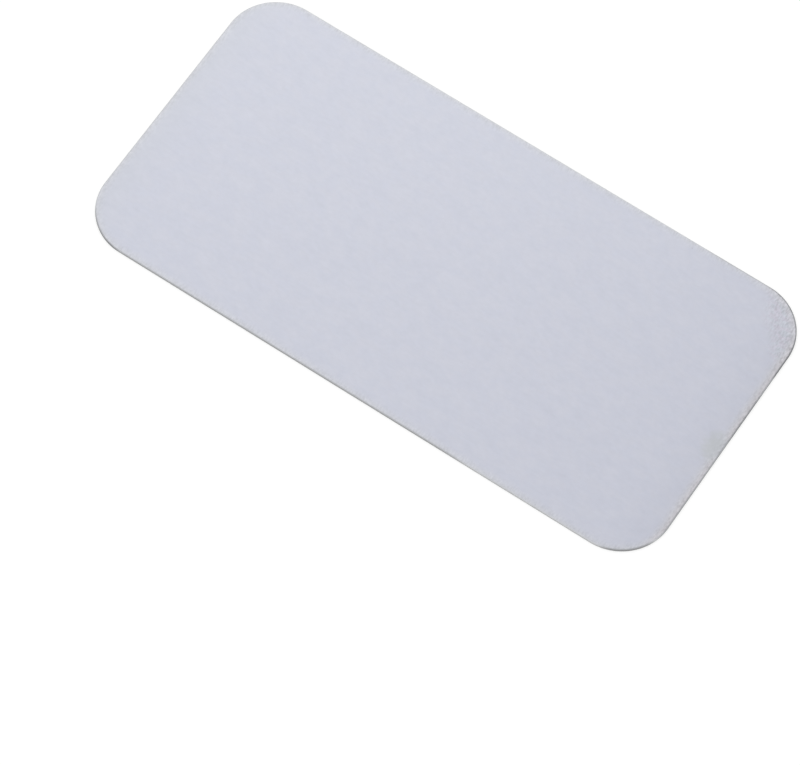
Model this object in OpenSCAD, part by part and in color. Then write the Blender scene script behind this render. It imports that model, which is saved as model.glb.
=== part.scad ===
// A thin steel plate that a magnetic phone mount grips, blanked from strip in one stroke.
// It lies on its back face: X runs along it, Y across it and Z up through the sheet.

/* [Blank] */
// Length of the plate, along X
plate_l = 60; // [40:1:90]
// Width of the plate, along Y
plate_w = 30; // [20:1:45]
// Thickness of the steel strip
sheet_t = 0.3; // [0.25:0.05:0.8]
// Radius of the four corners, seen from the front
corner_r = 5; // [2:0.5:9]

/* [Cut edge] */
// Radius of the roll-over that the die leaves round the front face
roll_r = 0.08; // [0.02:0.01:0.1]
// Height of the smooth sheared land below the roll-over
land_h = 0.07; // [0.02:0.01:0.1]
// How far the torn zone leans in below the land, by the time it reaches the back face
tear_lean = 0.015; // [0.005:0.005:0.03]
// Width of the break that tumbling leaves round the back face
back_break = 0.02; // [0.01:0.005:0.04]

/* [Finish] */
// Colour of the brushed steel
steel_colour = "lightsteelblue"; // [lightsteelblue, silver, gainsboro]

/* [Hidden] */
$fn = 96;

// Half the length and half the width of the flat field between the corners' centres
field_x = plate_l / 2 - corner_r;
field_y = plate_w / 2 - corner_r;
// Heights at which the roll-over and the land begin
roll_z = sheet_t - roll_r;
land_z = roll_z - land_h;
// A share of the lean is used up by the time the tear meets the back break
lean_at_break = tear_lean * (land_z - back_break) / land_z;

// Section of the plate from a corner's centre line out to the cut edge: X is outwards, Y is up
module edge_section() {
    // Torn zone and land
    polygon([
        [0, 0],
        [corner_r - tear_lean - back_break, 0],
        [corner_r - lean_at_break, back_break],
        [corner_r, land_z],
        [corner_r, roll_z],
        [0, roll_z],
    ]);
    // Sheet beside the roll-over
    translate([0, roll_z])
        square([corner_r - roll_r, roll_r]);
    // Roll-over, a quarter round
    translate([corner_r - roll_r, roll_z])
        intersection() {
            circle(roll_r);
            square(roll_r);
        }
}

// One straight run of the edge, from its middle, facing +X
module straight_edge(half_run) {
    rotate([90, 0, 0])
        translate([0, 0, -half_run])
            linear_extrude(2 * half_run)
                edge_section();
}

// One quarter-turn of the edge, facing +X and +Y
module corner_edge() {
    rotate_extrude(angle = 90)
        edge_section();
}

// The blanked plate: a flat field, four straight edges and four corners, all one piece of steel
module plate() {
    color(steel_colour)
        union() {
            translate([-field_x, -field_y, 0])
                cube([2 * field_x, 2 * field_y, sheet_t]);
            for (side = [0, 180])
                rotate([0, 0, side]) {
                    translate([field_x, 0, 0])
                        straight_edge(field_y);
                    rotate([0, 0, 90])
                        translate([field_y, 0, 0])
                            straight_edge(field_x);
                    translate([field_x, field_y, 0])
                        corner_edge();
                    translate([-field_x, field_y, 0])
                        rotate([0, 0, 90])
                            corner_edge();
                }
        }
}

plate();
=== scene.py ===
"""The looks of the magnetic phone mount plate: one blanked steel sheet that lies on its back."""

import logging
import math
from dataclasses import dataclass, field
from enum import Enum
from typing import Any

import bmesh
import bpy
from mathutils import Matrix, Vector, noise


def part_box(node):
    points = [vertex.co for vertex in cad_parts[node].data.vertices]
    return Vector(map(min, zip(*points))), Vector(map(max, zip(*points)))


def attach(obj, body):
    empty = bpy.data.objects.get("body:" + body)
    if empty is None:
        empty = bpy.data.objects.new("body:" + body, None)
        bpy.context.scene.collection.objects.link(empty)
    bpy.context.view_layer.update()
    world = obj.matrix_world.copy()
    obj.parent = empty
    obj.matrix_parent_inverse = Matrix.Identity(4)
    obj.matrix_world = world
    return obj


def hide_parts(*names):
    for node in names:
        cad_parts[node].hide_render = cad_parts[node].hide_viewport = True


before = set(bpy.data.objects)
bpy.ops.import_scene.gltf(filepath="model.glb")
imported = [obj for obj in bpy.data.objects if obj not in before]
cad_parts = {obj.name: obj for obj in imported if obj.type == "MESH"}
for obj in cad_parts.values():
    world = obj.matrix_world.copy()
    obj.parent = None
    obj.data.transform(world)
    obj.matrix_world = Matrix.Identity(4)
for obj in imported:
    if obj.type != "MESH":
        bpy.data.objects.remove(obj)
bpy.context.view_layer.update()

LOG = logging.getLogger("mount_plate")

MM = 0.001
MICRON = 0.000001
UP = Vector((0.0, 0.0, 1.0))

Socket = bpy.types.NodeSocket
Colour = tuple[float, float, float]
Span = tuple[float, float]


class Zone(Enum):
    """Where a face of the plate lies; each zone is a material slot, in this order."""

    FIELD = 0
    LAND = 1
    TEAR = 2


@dataclass(frozen=True)
class Grain:
    """A noise in a finish.

    Its pitch is the size of its marks along X, Y and Z, in metres. It has finer layers, as many as its
    detail, and each has a share of the strength of the one before. Tone and rough are how far the
    finish's tone and roughness swing with it, to either side.
    """

    pitch: tuple[float, float, float]
    detail: float = 2.0
    tone: float = 0.0
    rough: float = 0.0
    layer_share: float = 0.55


class Graph:
    """A node tree that is filled node by node."""

    def __init__(self, owner: bpy.types.Material | bpy.types.World) -> None:
        """Empties the owner's tree.

        Args:
            owner: The material or world whose tree is filled.
        """
        owner.use_nodes = True
        self.tree = owner.node_tree
        self.tree.nodes.clear()

    def add(self, kind: str, settings: dict[str, Any] | None = None, **inputs: Any) -> bpy.types.Node:
        """Adds one node.

        Args:
            kind: The node's type, without the leading "ShaderNode".
            settings: The node's own properties.
            **inputs: Input sockets by name, with "_" for a space: a socket to link from, or a constant.

        Returns:
            The new node.
        """
        made = self.tree.nodes.new("ShaderNode" + kind)
        for name, value in (settings or {}).items():
            setattr(made, name, value)
        for name, value in inputs.items():
            self.feed(made.inputs[name.replace("_", " ")], value)
        return made

    def feed(self, socket: Socket, value: Any) -> None:
        """Feeds one input.

        Args:
            socket: The input.
            value: The socket that is linked to it, or its constant.
        """
        if isinstance(value, Socket):
            self.tree.links.new(value, socket)
        else:
            socket.default_value = value

    def maths(self, operation: str, *values: Any, clamp: bool = False) -> Socket:
        """Adds a Math node.

        Args:
            operation: The node's operation.
            *values: Its inputs, in order.
            clamp: Whether the result stays between 0 and 1.

        Returns:
            The result's socket.
        """
        made = self.add("Math", {"operation": operation, "use_clamp": clamp})
        for socket, value in zip(made.inputs, values):
            self.feed(socket, value)
        return made.outputs[0]

    def product(self, *values: Any) -> Socket:
        """Adds the product of two values."""
        return self.maths("MULTIPLY", *values)

    def plus(self, total: Any, value: Any, share: Any, clamp: bool = False) -> Socket:
        """Adds a share of a value to a total.

        Args:
            total: The total so far.
            value: The value that is added.
            share: What the value is multiplied by.
            clamp: Whether the result stays between 0 and 1.

        Returns:
            The new total's socket.
        """
        return self.maths("MULTIPLY_ADD", value, share, total, clamp=clamp)

    def ramp(self, value: Socket, start: float, end: float) -> Socket:
        """Adds a smooth step.

        Args:
            value: What the step is read from.
            start: The value at which the step is 0, below or above the end.
            end: The value at which it is 1.

        Returns:
            The step's socket.
        """
        made = self.add(
            "MapRange",
            {"interpolation_type": "SMOOTHSTEP", "clamp": True},
            Value=value,
            From_Min=min(start, end),
            From_Max=max(start, end),
            To_Min=0.0 if start < end else 1.0,
            To_Max=1.0 if start < end else 0.0,
        )
        return made.outputs["Result"]

    def mix(self, share: Any, first: Any, second: Any, blend: str = "MIX") -> Socket:
        """Adds a colour mix.

        Args:
            share: How much of the second colour there is.
            first: The first colour, or its socket.
            second: The second colour, or its socket.
            blend: The node's blend type.

        Returns:
            The mixed colour's socket.
        """
        made = self.tree.nodes.new("ShaderNodeMix")
        made.data_type = "RGBA"
        made.blend_type = blend
        for socket, value in ((made.inputs[0], share), (made.inputs[6], first), (made.inputs[7], second)):
            self.feed(socket, value)
        return made.outputs[2]

    def toned(self, colour: Any, tone: Socket) -> Socket:
        """Makes a colour lighter or darker.

        Args:
            colour: The colour, or its socket.
            tone: What all three of its channels are multiplied by.

        Returns:
            The new colour's socket.
        """
        grey = self.add("CombineColor", Red=tone, Green=tone, Blue=tone)
        return self.mix(1.0, colour, grey.outputs[0], "MULTIPLY")

    def place(self) -> Socket:
        """Adds the piece's own coordinates, in metres."""
        return self.add("TexCoord").outputs["Object"]

    def mark(self, name: str) -> Socket:
        """Adds an attribute that is painted on the mesh, by its name."""
        return self.add("Attribute", {"attribute_name": name}).outputs["Fac"]

    def grain(self, place: Socket, grain: Grain) -> Socket:
        """Adds a noise whose marks have a size of their own along each axis.

        Args:
            place: The coordinates that it reads.
            grain: Its pitch and detail.

        Returns:
            The noise's socket, about 0.5 on average.
        """
        scaled = self.add("Mapping", Vector=place, Scale=[1.0 / size for size in grain.pitch])
        made = self.add(
            "TexNoise",
            Vector=scaled.outputs[0],
            Scale=1.0,
            Detail=grain.detail,
            Roughness=grain.layer_share,
        )
        return made.outputs[0]

    def swung(self, middle: Any, wave: Socket, reach: float) -> Socket:
        """Lets a value swing with a noise.

        Args:
            middle: The value, or its socket, where the noise is at its average.
            wave: The noise.
            reach: How far the value swings to either side, about.

        Returns:
            The swinging value's socket.
        """
        centred = self.maths("SUBTRACT", wave, 0.5)
        return self.plus(middle, centred, 2.0 * reach)

    def shown(self, surface: Socket, kind: str = "OutputMaterial") -> None:
        """Ends the tree with its output."""
        self.add(kind, Surface=surface)

    def bare_steel(self, colour: Socket, rough: Socket, height: Socket, **inputs: Any) -> None:
        """Ends a material's tree with bare steel.

        Args:
            colour: The steel's colour.
            rough: Its roughness.
            height: Its relief, in metres.
            **inputs: More inputs of the shader, as in add.
        """
        bump = self.add("Bump", Height=height, Strength=1.0, Distance=1.0)
        steel = self.add(
            "BsdfPrincipled",
            Base_Color=colour,
            Metallic=1.0,
            Roughness=rough,
            Normal=bump.outputs[0],
            **inputs,
        )
        self.shown(steel.outputs[0])


def opaque(colour: Colour) -> tuple[float, float, float, float]:
    """Gives colour with a full alpha."""
    return (*colour, 1.0)


@dataclass(frozen=True)
class Wear:
    """The masks of what has marked the strip, each from 0 to 1.

    Scuffed is the rubbed corner, and stained the faint stain. Dull is the left end, and worn is the right
    one.
    The right end also has painted shade, darker where the light falls off. Worn_rim is where the rim's own
    grey is rubbed off. The edge's mask is painted shade and tarnish on the cut edge's rim.
    """

    scuffed: Socket
    stained: Socket
    specks: Socket
    dull: Socket
    worn: Socket
    painted_shade_end: Socket
    rim: Socket
    worn_rim: Socket
    tarnish_and_shade: Socket


@dataclass(frozen=True)
class StripSteel:
    """Satin cold-rolled strip, as on both faces of the plate. Its grain runs along the length.

    A span is where a mask runs from 0 to 1: over a noise, along the length, or across the scuffed corner.
    A shade or a depth is what a mask takes off the tone, which is 1 on clean steel.
    """

    name: str = "strip_steel"
    colour: Colour = (0.540, 0.555, 0.638)
    rim_colour: Colour = (0.550, 0.560, 0.606)
    end_colour: Colour = (0.536, 0.551, 0.619)
    mottled_colour: Colour = (0.542, 0.554, 0.631)
    worn_rim_colour: Colour = (0.568, 0.560, 0.593)
    stain_colour: Colour = (0.510, 0.527, 0.563)
    scuff_colours: tuple[Colour, Colour] = ((0.542, 0.534, 0.609), (0.525, 0.546, 0.611))
    roughness: float = 0.33
    anisotropy: float = 0.75
    grain_turn: float = 0.25

    grain: Grain = Grain((2.4 * MM, 0.13 * MM, 1.0 * MM), detail=3.0, tone=0.020, rough=0.05)
    streak: Grain = Grain((5.5 * MM, 0.70 * MM, 2.0 * MM), tone=0.012)
    dapple: Grain = Grain((0.55 * MM, 0.34 * MM, 1.0 * MM), tone=0.036)
    mottle: Grain = Grain((1.7 * MM, 1.2 * MM, 2.0 * MM), tone=0.042, rough=0.02)
    scratch: Grain = Grain((0.16 * MM, 0.38 * MM, 1.0 * MM))
    grain_relief: float = 1.2 * MICRON
    scratch_relief: float = 2.5 * MICRON

    light_scratch_span: Span = (0.53, 0.66)
    dark_scratch_span: Span = (0.49, 0.36)
    light_scratch_gain: float = 0.10
    dark_scratch_depth: float = 0.115
    rim_scratched: float = 0.65
    worn_scratched: float = 0.35
    scuffed_rim_extra: float = 0.35

    scuff_way: Vector = field(default_factory=lambda: Vector((0.835, 0.550, 0.0)))
    scuff_span: Span = (28.1 * MM, 30.0 * MM)
    scuff_fray: float = 1.0 * MM
    scuff_tint_span: Span = (0.42, 0.58)
    mottle_tint_span: Span = (0.42, 0.60)

    dull_span: Span = (-26.0 * MM, -30.4 * MM)
    worn_span: Span = (28.7 * MM, 29.8 * MM)
    # Painted shade: the right end of the face is made darker, where the light falls off.
    painted_shade_span: Span = (25.0 * MM, 29.5 * MM)
    painted_end_shade: float = 0.032
    worn_rim_shade: float = 0.040
    scuffed_wear: float = 0.5
    worn_greying: float = 0.5
    tarnish_and_shade_depth: float = 0.55

    stain_centre: tuple[float, float] = (29.2 * MM, -1.1 * MM)
    stain_half: tuple[float, float] = (1.0 * MM, 1.4 * MM)
    stain_span: Span = (2.0, -0.2)
    stain_fray: float = 0.9

    speck_cell: float = 3.6 * MM
    speck_size: float = 0.11 * MM
    speck_core: float = 0.4
    cells_without_speck: float = 0.72
    speck_depth: float = 0.12
    speck_dulling: float = 0.15

    def _scuffs(self, graph: Graph, place: Socket, wander: Socket) -> Socket:
        """Adds the mask of the rubbed patch that lies across one corner.

        Args:
            graph: The tree.
            place: The piece's coordinates.
            wander: The noise that frays the patch's border.

        Returns:
            The mask's socket.
        """
        across = graph.add("VectorMath", {"operation": "DOT_PRODUCT"})
        graph.feed(across.inputs[0], place)
        graph.feed(across.inputs[1], self.scuff_way)
        return graph.ramp(graph.swung(across.outputs["Value"], wander, self.scuff_fray), *self.scuff_span)

    def _stain(self, graph: Graph, axes: bpy.types.Node, wander: Socket) -> Socket:
        """Adds the mask of a faint stain beside the edge of one end.

        Args:
            graph: The tree.
            axes: The piece's coordinates, one by one.
            wander: The noise that frays the stain's border.

        Returns:
            The mask's socket.
        """
        away = graph.swung(0.0, wander, self.stain_fray)
        for axis, middle, half in zip("XY", self.stain_centre, self.stain_half):
            offset = graph.maths("DIVIDE", graph.maths("SUBTRACT", axes.outputs[axis], middle), half)
            away = graph.plus(away, offset, offset)
        return graph.ramp(away, *self.stain_span)

    def _specks(self, graph: Graph, place: Socket) -> Socket:
        """Adds the mask of the few dark specks. Each lies in a cell of its own, and most cells have none.

        Args:
            graph: The tree.
            place: The piece's coordinates.

        Returns:
            The mask's socket.
        """
        scaled = graph.add("Mapping", Vector=place, Scale=[1.0 / self.speck_cell] * 3)
        cells = graph.add("TexVoronoi", {"feature": "F1"}, Vector=scaled.outputs[0], Scale=1.0)
        size = self.speck_size / self.speck_cell
        dot = graph.ramp(cells.outputs["Distance"], size, self.speck_core * size)
        lot = graph.add("SeparateColor", Color=cells.outputs["Color"]).outputs[0]
        return graph.product(dot, graph.maths("GREATER_THAN", lot, self.cells_without_speck))

    def _wear(self, graph: Graph, place: Socket, noises: dict[Grain, Socket], middle: float) -> Wear:
        """Adds the masks of what has marked the strip. Scuffs and stain are on the front face alone.

        Args:
            graph: The tree.
            place: The piece's coordinates.
            noises: The noises of the strip's grains.
            middle: The height of the sheet's middle, above which a face is the front.

        Returns:
            The masks.
        """
        axes = graph.add("SeparateXYZ", Vector=place)
        front = graph.maths("GREATER_THAN", axes.outputs["Z"], middle)
        scuffed = graph.product(front, self._scuffs(graph, place, noises[self.mottle]))
        worn = graph.ramp(axes.outputs["X"], *self.worn_span)
        rim = graph.mark(MountPlate.RIM)
        rubbed_off = graph.maths("MAXIMUM", worn, graph.product(scuffed, self.scuffed_wear))
        return Wear(
            scuffed=scuffed,
            stained=graph.product(front, self._stain(graph, axes, noises[self.dapple])),
            specks=self._specks(graph, place),
            dull=graph.ramp(axes.outputs["X"], *self.dull_span),
            worn=worn,
            # Painted shade of the right end.
            painted_shade_end=graph.ramp(axes.outputs["X"], *self.painted_shade_span),
            rim=rim,
            worn_rim=graph.product(rim, rubbed_off),
            tarnish_and_shade=graph.mark(MountPlate.TARNISH_AND_SHADE),
        )

    def _scratches(self, graph: Graph, scratch: Socket, wear: Wear) -> Socket:
        """Adds the light and dark scratches of the scuffed patch, the rim and the worn end.

        Args:
            graph: The tree.
            scratch: The scratches' noise.
            wear: The masks.

        Returns:
            The socket of what they add to the tone.
        """
        light = graph.product(graph.ramp(scratch, *self.light_scratch_span), self.light_scratch_gain)
        both = graph.plus(light, graph.ramp(scratch, *self.dark_scratch_span), -self.dark_scratch_depth)
        on_rim = graph.plus(graph.product(wear.rim, self.rim_scratched), wear.worn, self.worn_scratched)
        on_patch = graph.product(wear.scuffed, graph.plus(1.0, wear.rim, self.scuffed_rim_extra))
        return graph.product(both, graph.maths("MAXIMUM", on_patch, on_rim))

    def _tone(self, graph: Graph, noises: dict[Grain, Socket], wear: Wear) -> Socket:
        """Adds the steel's tone.

        Args:
            graph: The tree.
            noises: The noises of the strip's grains.
            wear: The masks.

        Returns:
            The tone's socket, about 1 on clean steel.
        """
        tone: Any = 1.0
        for grain in (self.grain, self.streak, self.dapple, self.mottle):
            tone = graph.swung(tone, noises[grain], grain.tone)
        tone = graph.maths("ADD", tone, self._scratches(graph, noises[self.scratch], wear))
        for mask, depth in (
            # Painted shade: the right end of the face is made darker.
            (wear.painted_shade_end, self.painted_end_shade),
            (wear.specks, self.speck_depth),
            # Painted shade and tarnish on the rim next to the cut edge.
            (wear.tarnish_and_shade, self.tarnish_and_shade_depth),
            (wear.worn_rim, self.worn_rim_shade),
        ):
            tone = graph.plus(tone, mask, -depth)
        return tone

    def _colour(self, graph: Graph, noises: dict[Grain, Socket], wear: Wear) -> Socket:
        """Adds the steel's colour, before its tone.

        Args:
            graph: The tree.
            noises: The noises of the strip's grains.
            wear: The masks.

        Returns:
            The colour's socket.
        """
        mottled = graph.ramp(noises[self.mottle], *self.mottle_tint_span)
        dappled = graph.ramp(noises[self.dapple], *self.scuff_tint_span)
        rubbed = graph.mix(dappled, *(opaque(tint) for tint in self.scuff_colours))
        greying = graph.product(wear.worn, self.worn_greying)
        greyed = graph.maths("MAXIMUM", graph.product(wear.rim, wear.rim), greying)
        colour: Any = opaque(self.colour)
        for mask, tint in (
            (mottled, opaque(self.mottled_colour)),
            (wear.dull, opaque(self.end_colour)),
            (wear.scuffed, rubbed),
            (greyed, opaque(self.rim_colour)),
            (wear.worn_rim, opaque(self.worn_rim_colour)),
            (wear.stained, opaque(self.stain_colour)),
        ):
            colour = graph.mix(mask, colour, tint)
        return colour

    def material(self, middle: float) -> bpy.types.Material:
        """Makes the finish.

        Args:
            middle: The height of the sheet's middle, above which a face is the front.

        Returns:
            The material.
        """
        made = bpy.data.materials.new(self.name)
        graph = Graph(made)
        place = graph.place()
        grains = (self.grain, self.streak, self.dapple, self.mottle, self.scratch)
        noises = {grain: graph.grain(place, grain) for grain in grains}
        wear = self._wear(graph, place, noises, middle)
        colour = graph.toned(self._colour(graph, noises, wear), self._tone(graph, noises, wear))
        rough: Any = self.roughness
        for grain in (self.grain, self.mottle):
            rough = graph.swung(rough, noises[grain], grain.rough)
        rough = graph.plus(rough, wear.specks, self.speck_dulling)
        scratched = graph.product(noises[self.scratch], wear.scuffed)
        height = graph.product(noises[self.grain], self.grain_relief)
        height = graph.plus(height, scratched, self.scratch_relief)
        tangent = graph.add("Tangent", {"direction_type": "UV_MAP", "uv_map": MountPlate.GRAIN_MAP})
        graph.bare_steel(
            colour,
            rough,
            height,
            Anisotropic=self.anisotropy,
            Anisotropic_Rotation=self.grain_turn,
            Tangent=tangent.outputs[0],
        )
        return made


@dataclass(frozen=True)
class ShearedSteel:
    """The smooth part of the cut edge: the roll-over and the land, with drag lines down it from the die.

    It is darkened unevenly round the plate with painted shade and tarnish, which an attribute of the mesh
    says. Where the land's colour and the full darkening start is how far down the roll-over that is, as a
    share of its radius.
    """

    name: str = "sheared_steel"
    face_colour: Colour = (0.550, 0.561, 0.590)
    land_colour: Colour = (0.500, 0.505, 0.515)
    tarnish_and_shade_colour: Colour = (0.085, 0.085, 0.090)
    roughness: float = 0.36
    drag: Grain = Grain((0.05 * MM, 0.05 * MM, 0.6 * MM), detail=3.0, tone=0.20, rough=0.08)
    patch: Grain = Grain((1.8 * MM, 1.8 * MM, 1.8 * MM), tone=0.10)
    patch_tarnish_and_shade: float = 0.25
    drag_relief: float = 0.9 * MICRON
    land_colour_from: float = 0.65
    full_tarnish_and_shade_from: float = 0.3
    tarnish_and_shade_at_face: float = 0.45

    def material(self, roll_low: float, roll_high: float) -> bpy.types.Material:
        """Makes the finish.

        Args:
            roll_low: The height at which the roll-over meets the land.
            roll_high: The height at which it meets the front face.

        Returns:
            The material.
        """
        made = bpy.data.materials.new(self.name)
        graph = Graph(made)
        place = graph.place()
        height = graph.add("SeparateXYZ", Vector=place).outputs["Z"]
        drag = graph.grain(place, self.drag)
        patch = graph.grain(place, self.patch)
        roll = roll_high - roll_low
        turned = graph.ramp(height, roll_high, roll_high - self.land_colour_from * roll)
        lowered = graph.ramp(height, roll_high, roll_high - self.full_tarnish_and_shade_from * roll)
        dulled = graph.plus(self.tarnish_and_shade_at_face, lowered, 1.0 - self.tarnish_and_shade_at_face)
        # Painted shade and tarnish along the cut edge, from the mesh's attribute.
        tarnish_and_shade = graph.mark(MountPlate.TARNISH_AND_SHADE)
        tarnish_and_shade = graph.plus(tarnish_and_shade, graph.swung(0.0, patch, self.patch_tarnish_and_shade), tarnish_and_shade, clamp=True)
        colour = graph.mix(turned, opaque(self.face_colour), opaque(self.land_colour))
        colour = graph.mix(graph.product(dulled, tarnish_and_shade), colour, opaque(self.tarnish_and_shade_colour))
        tone = graph.plus(1.0, graph.swung(0.0, drag, self.drag.tone), turned)
        tone = graph.swung(tone, patch, self.patch.tone)
        rough = graph.swung(self.roughness, drag, self.drag.rough)
        relief = graph.product(graph.product(drag, turned), self.drag_relief)
        graph.bare_steel(graph.toned(colour, tone), rough, relief)
        return made


@dataclass(frozen=True)
class TornSteel:
    """The torn part of the cut edge, dull and grainy, down to the back face."""

    name: str = "torn_steel"
    colour: Colour = (0.350, 0.353, 0.360)
    roughness: float = 0.58
    crystal: Grain = Grain((0.035 * MM, 0.035 * MM, 0.035 * MM), detail=3.0, tone=0.35, rough=0.12)
    crystal_relief: float = 2.5 * MICRON
    tarnish_and_shade_depth: float = 0.55

    def material(self) -> bpy.types.Material:
        """Makes the finish.

        Returns:
            The material.
        """
        made = bpy.data.materials.new(self.name)
        graph = Graph(made)
        crystal = graph.grain(graph.place(), self.crystal)
        tone = graph.swung(1.0, crystal, self.crystal.tone)
        # Painted shade and tarnish along the cut edge.
        tone = graph.plus(tone, graph.mark(MountPlate.TARNISH_AND_SHADE), -self.tarnish_and_shade_depth)
        rough = graph.swung(self.roughness, crystal, self.crystal.rough)
        relief = graph.product(crystal, self.crystal_relief)
        graph.bare_steel(graph.toned(opaque(self.colour), tone), rough, relief)
        return made


@dataclass(frozen=True)
class WhiteTable:
    """A white table top that reads as pure white where nothing shades it."""

    name: str = "white_table"
    own_white: float = 0.68
    lit_white: float = 0.40

    def material(self) -> bpy.types.Material:
        """Makes the finish. Part of its white is its own, in sight and in mirrors, and part is lit.

        Returns:
            The material.
        """
        made = bpy.data.materials.new(self.name)
        graph = Graph(made)
        own = graph.add("Emission", Strength=graph.product(seen_rays(graph), self.own_white))
        lit = graph.add("BsdfDiffuse", Color=opaque((self.lit_white,) * 3))
        both = graph.add("AddShader")
        graph.feed(both.inputs[0], own.outputs[0])
        graph.feed(both.inputs[1], lit.outputs[0])
        graph.shown(both.outputs[0])
        return made


def seen_rays(graph: Graph) -> Socket:
    """Adds a mask of the rays that show a background: straight, mirrored and through glass.

    Args:
        graph: The tree.

    Returns:
        The mask's socket.
    """
    rays = graph.add("LightPath").outputs
    mirrored = graph.maths("MAXIMUM", rays["Is Camera Ray"], rays["Is Glossy Ray"])
    return graph.maths("MAXIMUM", mirrored, rays["Is Transmission Ray"])


@dataclass(frozen=True)
class TarnishAndShade:
    """A stretch of the cut edge that is painted darker, as painted shade and tarnish: a line beside the
    edge, its reach and how dark it is.
    """

    start: tuple[float, float]
    end: tuple[float, float]
    reach: float
    depth: float

    def at(self, point: Vector) -> float:
        """Works out how dark a point is.

        Args:
            point: The point, whose height counts for nothing.

        Returns:
            The darkness, which fades from depth at the line to 0 at its reach.
        """
        start, end = Vector(self.start), Vector(self.end)
        along = end - start
        share = (point.xy - start).dot(along) / along.length_squared
        away = (point.xy - start - along * max(0.0, min(1.0, share))).length / self.reach
        return self.depth * max(0.0, 1.0 - away * away)


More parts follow.
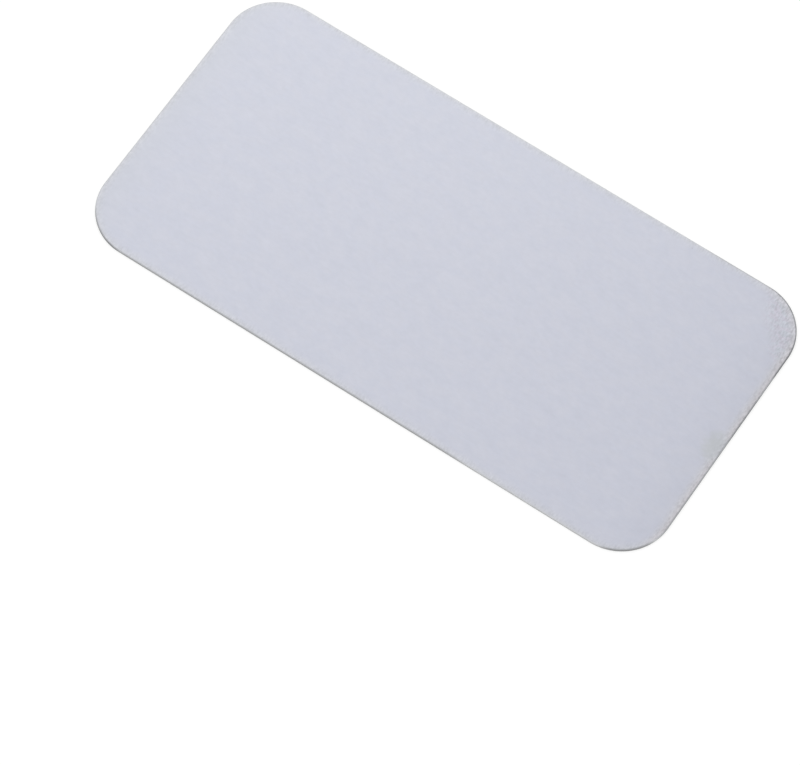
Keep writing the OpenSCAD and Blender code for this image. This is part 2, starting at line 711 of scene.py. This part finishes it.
@dataclass
class MountPlate:
    """The steel plate, blanked from strip. Its cut edge has a roll-over, a land and a torn zone."""

    RIM = "rim"
    TARNISH_AND_SHADE = "tarnish_and_shade"
    GRAIN_MAP = "grain"
    SAME_HEIGHT = 0.5 * MICRON

    length: float
    width: float
    thickness: float
    corner_radius: float = 5.0 * MM
    roll_radius: float = 0.08 * MM
    land_height: float = 0.07 * MM
    tear_lean: float = 0.015 * MM
    back_break: float = 0.02 * MM
    rim_width: float = 0.80 * MM
    tarnish_and_shade_rim: float = 0.07 * MM
    edge_step: float = 0.12 * MM
    roll_steps: int = 8
    tear_steps: int = 5
    tear_bite: float = 4.0 * MICRON
    tear_pitch: float = 0.09 * MM
    tear_line_swing: float = 14.0 * MICRON
    tear_line_pitch: float = 0.45 * MM
    face_steel: StripSteel = field(default_factory=StripSteel)
    land_steel: ShearedSteel = field(default_factory=ShearedSteel)
    tear_steel: TornSteel = field(default_factory=TornSteel)
    # Painted shade and tarnish: stretches of the cut edge made darker, round the right end and the near
    # corners.
    tarnish_and_shade_stretches: tuple[TarnishAndShade, ...] = (
        TarnishAndShade((30.0 * MM, -9.6 * MM), (30.0 * MM, 10.0 * MM), 2.0 * MM, 0.55),
        TarnishAndShade((30.0 * MM, 1.2 * MM), (30.0 * MM, 4.0 * MM), 1.6 * MM, 0.22),
        TarnishAndShade((30.0 * MM, 9.6 * MM), (27.0 * MM, 14.6 * MM), 2.2 * MM, 1.00),
        TarnishAndShade((27.3 * MM, -14.4 * MM), (29.0 * MM, -13.0 * MM), 1.5 * MM, 0.58),
        TarnishAndShade((20.0 * MM, 15.0 * MM), (25.0 * MM, 15.0 * MM), 2.0 * MM, 0.36),
        TarnishAndShade((-28.2 * MM, -13.8 * MM), (-26.8 * MM, -14.7 * MM), 1.9 * MM, 0.64),
        TarnishAndShade((-24.0 * MM, -15.0 * MM), (9.0 * MM, -15.0 * MM), 3.0 * MM, 0.35),
    )

    @property
    def roll_z(self) -> float:
        """The height at which the roll-over starts."""
        return self.thickness - self.roll_radius

    @property
    def land_z(self) -> float:
        """The height at which the land ends and the torn zone starts."""
        return self.roll_z - self.land_height

    def _outline(self, mesh: bmesh.types.BMesh) -> bmesh.types.BMFace:
        """Makes the plate's outline as one flat face at the top of the land.

        Args:
            mesh: The empty mesh that it goes into.

        Returns:
            The face, whose edges are all about one step long.
        """
        bmesh.ops.create_grid(mesh, x_segments=1, y_segments=1, size=0.5)
        bmesh.ops.scale(mesh, vec=(self.length, self.width, 1.0), verts=mesh.verts)
        bmesh.ops.translate(mesh, vec=UP * self.roll_z, verts=mesh.verts)
        arc = 0.5 * math.pi * self.corner_radius
        bmesh.ops.bevel(
            mesh,
            geom=mesh.verts[:],
            offset=self.corner_radius,
            offset_type="OFFSET",
            segments=round(arc / self.edge_step),
            profile=0.5,
            affect="VERTICES",
            material=-1,
        )
        for side in [edge for edge in mesh.edges if edge.calc_length() > self.corner_radius]:
            cuts = round(side.calc_length() / self.edge_step) - 1
            bmesh.ops.subdivide_edges(mesh, edges=[side], cuts=cuts)
        return max(mesh.faces, key=lambda face: face.calc_area())

    def _slab(self, mesh: bmesh.types.BMesh) -> tuple[bmesh.types.BMFace, bmesh.types.BMFace]:
        """Makes the land as a closed slab, from which the rest of the plate is drawn out.

        Args:
            mesh: The empty mesh that it goes into.

        Returns:
            The slab's front and back faces.
        """
        marks = [mesh.verts.layers.float.new(name) for name in (self.RIM, self.TARNISH_AND_SHADE)]
        outline = self._outline(mesh)
        for vert in mesh.verts:
            for mark in marks:
                vert[mark] = 1.0
        raised = bmesh.ops.extrude_face_region(mesh, geom=[outline])["geom"]
        front = next(item for item in raised if isinstance(item, bmesh.types.BMFace))
        back = max((face for face in mesh.faces if face is not front), key=lambda face: face.calc_area())
        bmesh.ops.translate(mesh, vec=UP * -self.land_height, verts=back.verts)
        bmesh.ops.recalc_face_normals(mesh, faces=mesh.faces)
        for face in mesh.faces:
            flat = face in (front, back)
            face.material_index = Zone.FIELD.value if flat else Zone.LAND.value
            face.smooth = not flat
        return front, back

    def _ring(
        self,
        mesh: bmesh.types.BMesh,
        cap: bmesh.types.BMFace,
        inwards: float,
        outwards: float,
        zone: Zone,
    ) -> None:
        """Draws a cap in and pushes it out, which leaves a ring of faces round it.

        Args:
            mesh: The plate's mesh.
            cap: The front or back face, which stays the innermost one.
            inwards: How far the cap's edge moves in.
            outwards: How far the cap moves along its normal.
            zone: The zone of the new ring.
        """
        made = bmesh.ops.inset_region(
            mesh, faces=[cap], use_boundary=True, use_even_offset=True, thickness=inwards, depth=outwards
        )
        for face in made["faces"]:
            face.material_index = zone.value
            face.smooth = True

    def _roll_over(self, mesh: bmesh.types.BMesh, front: bmesh.types.BMFace) -> None:
        """Rolls the slab's upper edge over in a quarter round, up to the front face.

        Args:
            mesh: The plate's mesh.
            front: The front face.
        """
        turn = 0.5 * math.pi / self.roll_steps
        for step in range(self.roll_steps):
            inwards = self.roll_radius * (math.cos(step * turn) - math.cos((step + 1) * turn))
            outwards = self.roll_radius * (math.sin((step + 1) * turn) - math.sin(step * turn))
            self._ring(mesh, front, inwards, outwards, Zone.LAND)

    def _torn_zone(self, mesh: bmesh.types.BMesh, back: bmesh.types.BMFace) -> None:
        """Draws the torn zone down from the land, and the small break round the back face.

        Args:
            mesh: The plate's mesh.
            back: The back face.
        """
        drop = self.land_z - self.back_break
        lean = self.tear_lean * drop / self.land_z
        for _ in range(self.tear_steps):
            self._ring(mesh, back, lean / self.tear_steps, drop / self.tear_steps, Zone.TEAR)
        self._ring(mesh, back, self.back_break + self.tear_lean - lean, self.back_break, Zone.LAND)

    def _draw_rim(self, mesh: bmesh.types.BMesh, cap: bmesh.types.BMFace) -> None:
        """Draws the rim of a face: a narrow ring that the edge's painted shade and tarnish fade over, and a
        wider one.

        Args:
            mesh: The plate's mesh.
            cap: The front or back face, which becomes the flat field inside the rim.
        """
        rim, tarnish_and_shade = (mesh.verts.layers.float[name] for name in (self.RIM, self.TARNISH_AND_SHADE))
        self._ring(mesh, cap, self.tarnish_and_shade_rim, 0.0, Zone.FIELD)
        for vert in cap.verts:
            vert[tarnish_and_shade] = 0.0
        self._ring(mesh, cap, self.rim_width, 0.0, Zone.FIELD)
        for vert in cap.verts:
            vert[rim] = 0.0

    def _roughen_tear(self, mesh: bmesh.types.BMesh) -> None:
        """Roughens the torn zone inwards, and lets the line between it and the land wander.

        Args:
            mesh: The plate's mesh.
        """
        reaches = (self.length / 2 - self.corner_radius, self.width / 2 - self.corner_radius)
        for vert in mesh.verts:
            if not self.back_break - self.SAME_HEIGHT < vert.co.z < self.land_z + self.SAME_HEIGHT:
                continue
            if vert.co.z > self.land_z - self.SAME_HEIGHT:
                vert.co.z += self.tear_line_swing * noise.noise(vert.co / self.tear_line_pitch)
                continue
            inner = Vector([max(-reach, min(reach, at)) for reach, at in zip(reaches, vert.co.xy)])
            bite = self.tear_bite * (0.5 + 0.5 * noise.noise(vert.co / self.tear_pitch))
            vert.co += (inner - vert.co.xy).normalized().to_3d() * bite

    def _darken_edge(self, mesh: bmesh.types.BMesh) -> None:
        """Gives every point of the cut edge the darkness of the stretches that it lies on: painted shade
        and tarnish.

        Args:
            mesh: The plate's mesh.
        """
        tarnish_and_shade = mesh.verts.layers.float[self.TARNISH_AND_SHADE]
        for vert in mesh.verts:
            vert[tarnish_and_shade] *= min(1.0, sum(stretch.at(vert.co) for stretch in self.tarnish_and_shade_stretches))

    def _map_grain(self, mesh: bmesh.types.BMesh) -> None:
        """Lays the grain's map flat over the plate, so that the grain runs along its length.

        Args:
            mesh: The plate's mesh.
        """
        layer = mesh.loops.layers.uv.new(self.GRAIN_MAP)
        for face in mesh.faces:
            for corner in face.loops:
                at = corner.vert.co
                corner[layer].uv = (at.x / self.length + 0.5, at.y / self.width + 0.5)

    def shape(self) -> bpy.types.Mesh:
        """Makes the plate's mesh.

        Returns:
            The closed mesh, with a zone on every face.
        """
        mesh = bmesh.new()
        front, back = self._slab(mesh)
        self._roll_over(mesh, front)
        self._draw_rim(mesh, front)
        self._torn_zone(mesh, back)
        self._draw_rim(mesh, back)
        self._roughen_tear(mesh)
        self._darken_edge(mesh)
        self._map_grain(mesh)
        bmesh.ops.recalc_face_normals(mesh, faces=mesh.faces)
        made = bpy.data.meshes.new("steel_plate")
        mesh.to_mesh(made)
        mesh.free()
        return made

    def dress(self, mesh: bpy.types.Mesh) -> None:
        """Gives the mesh its finishes, one slot for each zone, in order.

        Args:
            mesh: The plate's mesh.
        """
        mesh.materials.append(self.face_steel.material(middle=self.thickness / 2))
        mesh.materials.append(self.land_steel.material(roll_low=self.roll_z, roll_high=self.thickness))
        mesh.materials.append(self.tear_steel.material())

    def build(self) -> list[bpy.types.Object]:
        """Makes and dresses the plate, and puts it in its CAD node's place.

        Returns:
            The pieces made.
        """
        mesh = self.shape()
        self.dress(mesh)
        piece = bpy.data.objects.new("steel_plate", mesh)
        bpy.context.scene.collection.objects.link(piece)
        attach(piece, "root")
        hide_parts("plate")
        return [piece]


@dataclass(frozen=True)
class Softbox:
    """A square lamp, aimed at the origin, that lights evenly across its front.

    White is how bright its front is, where 1 is paper white.
    """

    name: str
    centre: Vector
    side: float
    white: float
    colour: Colour = (1.0, 1.0, 1.0)

    def build(self) -> bpy.types.Object:
        """Makes the lamp.

        Returns:
            The lamp, out of the camera's own sight.
        """
        lamp = bpy.data.lights.new(self.name, "AREA")
        lamp.shape = "SQUARE"
        lamp.size = self.side
        lamp.energy = self.white * math.pi * self.side**2
        lamp.color = self.colour
        made = bpy.data.objects.new(self.name, lamp)
        made.location = self.centre
        made.rotation_mode = "QUATERNION"
        made.rotation_quaternion = self.centre.to_track_quat("Z", "Y")
        made.visible_camera = False
        bpy.context.scene.collection.objects.link(made)
        return made


@dataclass
class Studio:
    """The white table, the soft lamps and the white room round them."""

    table_side: float = 3.0
    table_gap: float = 10.0 * MICRON
    room_light: float = 0.87
    lamps: tuple[Softbox, ...] = (
        Softbox("side_lamp", Vector((-0.42, -0.30, 0.62)), side=0.45, white=0.6),
        Softbox(
            "sheet_lamp", Vector((-0.088, 0.165, 0.20)), side=0.134, white=0.48, colour=(1.0, 1.0, 0.885)
        ),
    )
    top: WhiteTable = field(default_factory=WhiteTable)

    def _table(self) -> bpy.types.Object:
        """Makes the table top, just under the plate.

        Returns:
            The table top.
        """
        mesh = bmesh.new()
        bmesh.ops.create_grid(mesh, x_segments=4, y_segments=4, size=self.table_side / 2)
        bmesh.ops.translate(mesh, vec=UP * -self.table_gap, verts=mesh.verts)
        data = bpy.data.meshes.new("table_top")
        mesh.to_mesh(data)
        mesh.free()
        data.materials.append(self.top.material())
        made = bpy.data.objects.new("table_top", data)
        bpy.context.scene.collection.objects.link(made)
        return made

    def _room(self) -> None:
        """Makes the room: white to the eye and in the steel, and dimmer as a light."""
        world = bpy.data.worlds.new("white_room")
        graph = Graph(world)
        strength = graph.add("MapRange", Value=seen_rays(graph), To_Min=self.room_light, To_Max=1.0)
        white = graph.add("Background", Color=opaque((1.0, 1.0, 1.0)), Strength=strength.outputs["Result"])
        graph.shown(white.outputs[0], "OutputWorld")
        bpy.context.scene.world = world

    def build(self) -> list[bpy.types.Object]:
        """Makes the stage.

        Returns:
            The table and the lamps.
        """
        self._room()
        return [self._table(), *(lamp.build() for lamp in self.lamps)]


@dataclass(frozen=True)
class Viewpoint:
    """The photograph's view: a long lens that looks down on the front face, a little tilted."""

    eye: Vector = field(default_factory=lambda: Vector((94.777 * MM, -172.326 * MM, 390.406 * MM)))
    aim: Vector = field(default_factory=lambda: Vector((2.910 * MM, -11.613 * MM, 0.3 * MM)))
    tilt_deg: float = 4.247
    lens_mm: float = 219.89
    sensor_mm: float = 36.0
    near: float = 0.01
    far: float = 10.0

    def build(self) -> bpy.types.Object:
        """Makes the camera.

        Returns:
            The camera, which is the scene's own.
        """
        lens = bpy.data.cameras.new("view")
        lens.lens = self.lens_mm
        lens.sensor_width = self.sensor_mm
        lens.clip_start = self.near
        lens.clip_end = self.far
        made = bpy.data.objects.new("view", lens)
        turn = (self.eye - self.aim).to_track_quat("Z", "Y").to_matrix().to_4x4()
        tilt = Matrix.Rotation(math.radians(self.tilt_deg), 4, "Z")
        made.matrix_world = Matrix.Translation(self.eye) @ turn @ tilt
        bpy.context.scene.collection.objects.link(made)
        bpy.context.scene.camera = made
        return made


def plate_from_frame() -> MountPlate:
    """Takes the plate's overall sizes from its CAD node."""
    low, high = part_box("plate")
    return MountPlate(length=high.x - low.x, width=high.y - low.y, thickness=high.z - low.z)


def main() -> None:
    """Builds the plate, the stage and the view, and reports each piece."""
    logging.basicConfig(level=logging.INFO, format="%(name)s: %(message)s")
    bpy.context.scene.view_settings.view_transform = "Standard"
    for maker in (plate_from_frame(), Studio()):
        for piece in maker.build():
            LOG.info("%s: %s, a %s", type(maker).__name__, piece.name, piece.type.lower())
    LOG.info("Viewpoint: %s", Viewpoint().build().name)


if __name__ == "__main__":
    main()
